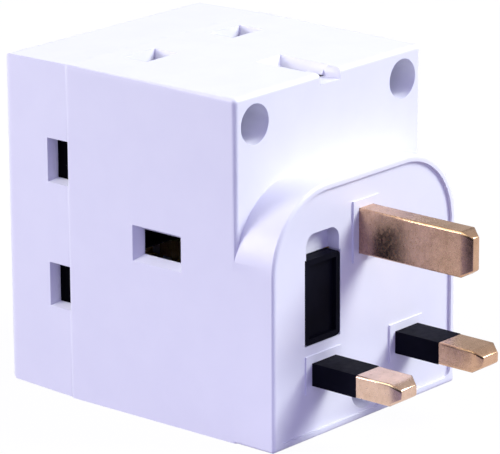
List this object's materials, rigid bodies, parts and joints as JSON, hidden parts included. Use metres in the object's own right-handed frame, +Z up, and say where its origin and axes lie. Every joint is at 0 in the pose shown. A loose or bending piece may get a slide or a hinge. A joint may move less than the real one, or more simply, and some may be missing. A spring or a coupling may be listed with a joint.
{
  "type": "multi socket adapter",
  "caption": "Plug-in wall socket adapter: a white moulded cube with rectangular plug pins and a fuse drawer on its rear face and shuttered outlets on both sides and the top.",
  "frame": {"origin": "on the plug face, midway between the live and neutral pins", "axes": "+Y the way the pins point, +Z up from the line pins towards the earth pin, +X towards the live pin"},
  "size_m": [0.0498, 0.0837, 0.0595],
  "materials": {
    "white_moulding": "semi-gloss moulded",
    "black_moulding": "satin moulded",
    "dark_moulding": "satin moulded",
    "pin_brass": "polished, rose-gold tone",
    "contact_brass": "stamped strip",
    "spring_steel": "drawn wire",
    "screw_steel": "zinc plated",
    "cap_nickel": "nickel plated",
    "ceramic": "glazed ceramic"
  },
  "bodies": {
    "housing": {"main_housing": "white_moulding", "front_cover": "white_moulding", "live_pin": "pin_brass", "neutral_pin": "pin_brass", "earth_pin": "pin_brass", "live_sleeve": "black_moulding", "neutral_sleeve": "black_moulding", "screws": "screw_steel", "fuse_clip_front": "contact_brass", "fuse_clip_rear": "contact_brass", "earth_bar": "contact_brass", "live_bar": "contact_brass", "neutral_bar": "contact_brass", "earth_contact_right": "contact_brass", "live_contact_right": "contact_brass", "neutral_contact_right": "contact_brass", "spring_right": "spring_steel", "earth_contact_left": "contact_brass", "live_contact_left": "contact_brass", "neutral_contact_left": "contact_brass", "spring_left": "spring_steel", "earth_contact_top": "contact_brass", "live_contact_top": "contact_brass", "neutral_contact_top": "contact_brass", "spring_top": "spring_steel"},
    "fuse_drawer": {"fuse_carrier": "black_moulding", "fuse_tube": "ceramic", "fuse_caps": "cap_nickel"},
    "shutter_right_slider": {"shutter_right": "dark_moulding"},
    "shutter_left_slider": {"shutter_left": "dark_moulding"},
    "shutter_top_slider": {"shutter_top": "dark_moulding"}
  },
  "joints": [
    {"name": "fuse_drawer_slide", "type": "slide", "parent": "housing", "child": "fuse_drawer", "axis": [0, 1, 0], "range_m": [0, 0.0275]},
    {"name": "shutter_right_slide", "type": "slide", "parent": "housing", "child": "shutter_right_slider", "axis": [0, -1, 0], "range_m": [0, 0.0054], "stiffness_N_per_m": 40, "springref_m": -0.003, "deforming": ["spring_right"]},
    {"name": "shutter_left_slide", "type": "slide", "parent": "housing", "child": "shutter_left_slider", "axis": [0, -1, 0], "range_m": [0, 0.0054], "stiffness_N_per_m": 40, "springref_m": -0.003, "deforming": ["spring_left"]},
    {"name": "shutter_top_slide", "type": "slide", "parent": "housing", "child": "shutter_top_slider", "axis": [0, -1, 0], "range_m": [0, 0.0054], "stiffness_N_per_m": 40, "springref_m": -0.003, "deforming": ["spring_top"]}
  ]
}
